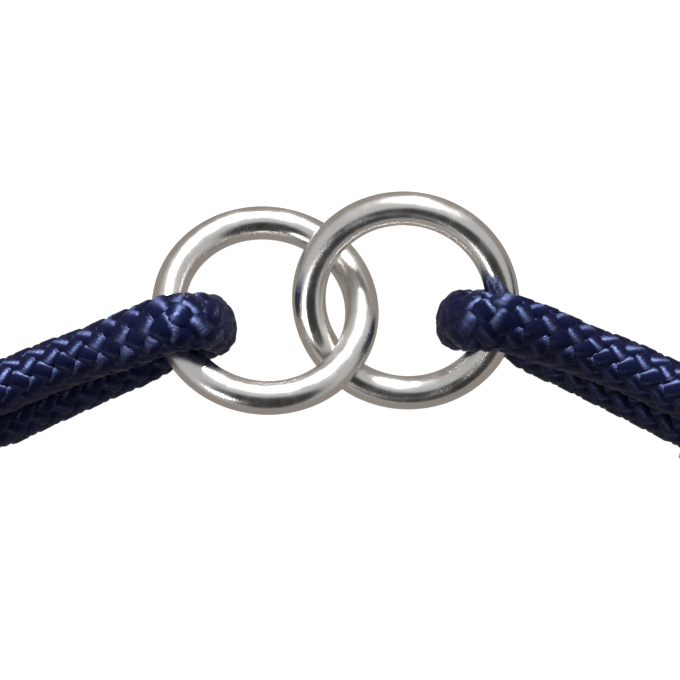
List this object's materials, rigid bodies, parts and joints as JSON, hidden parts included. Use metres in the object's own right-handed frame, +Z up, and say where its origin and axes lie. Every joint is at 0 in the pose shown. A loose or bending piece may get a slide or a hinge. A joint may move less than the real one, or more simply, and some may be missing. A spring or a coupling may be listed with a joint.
{
  "type": "lead rope",
  "caption": "Braided lead rope: two linked welded rings join a doubled strop with a swivel bolt snap to a folded lead rope kept in a tied hank.",
  "frame": {"origin": "on the floor, under the middle of the metal parts (both rings and the snap)", "axes": "+X from the snap towards the hank, +Y across the rope, +Z up from the surface the rope lies on"},
  "size_m": [0.548, 0.0928, 0.0326],
  "materials": {
    "ring_metal": "polished nickel-plated steel with fine scratches",
    "rope": "satin multifilament diamond braid, dark navy",
    "ferrule_metal": "crimped, lightly brushed",
    "snap_metal": "nickel-plated casting",
    "bolt_steel": "turned steel",
    "tie_webbing": "woven webbing"
  },
  "bodies": {
    "lead": {"lead_rope": "rope", "lead_ferrule": "ferrule_metal", "lead_hank": "rope", "lead_end": "rope", "hank_tie": "tie_webbing", "hand_end_cap": "ferrule_metal"},
    "right_ring": {"right_ring": "ring_metal"},
    "left_ring": {"left_ring": "ring_metal"},
    "strop": {"strop_rope": "rope", "strop_ferrule": "ferrule_metal"},
    "swivel": {"swivel_eye": "snap_metal", "swivel_rivet": "snap_metal"},
    "snap": {"snap_body": "snap_metal", "bolt_spring": "bolt_steel"},
    "bolt": {"snap_bolt": "bolt_steel", "bolt_knob": "snap_metal"}
  },
  "joints": [
    {"name": "lead_eye", "type": "hinge", "parent": "lead", "child": "right_ring", "pos_m": [0.12866, 0.01167, 0.01597], "axis": [0.1685, 0.9069, 0.3862], "range_deg": [0, 60]},
    {"name": "ring_link", "type": "hinge", "parent": "right_ring", "child": "left_ring", "pos_m": [0.0895, 0.0152, 0.0142], "axis": [-0.9959, -0.054, -0.072], "range_deg": [0, 60]},
    {"name": "strop_eye", "type": "hinge", "parent": "left_ring", "child": "strop", "pos_m": [0.05085, 0.00914, 0.01702], "axis": [-0.2727, 0.8996, -0.341], "range_deg": [0, 60]},
    {"name": "snap_eye", "type": "hinge", "parent": "strop", "child": "swivel", "pos_m": [-0.0405, -0.0248, 0.0149], "axis": [-0.1392, 0.9903, 0], "range_deg": [0, 45]},
    {"name": "snap_swivel", "type": "hinge", "parent": "swivel", "child": "snap", "pos_m": [-0.0405, -0.0248, 0.0149], "axis": [0.9829, 0.1381, 0.1219], "continuous": true},
    {"name": "bolt_slide", "type": "slide", "parent": "snap", "child": "bolt", "axis": [0.9829, 0.1381, 0.1219], "range_m": [0, 0.012], "stiffness_N_per_m": 300, "springref_m": -0.004, "deforming": ["bolt_spring"]}
  ]
}
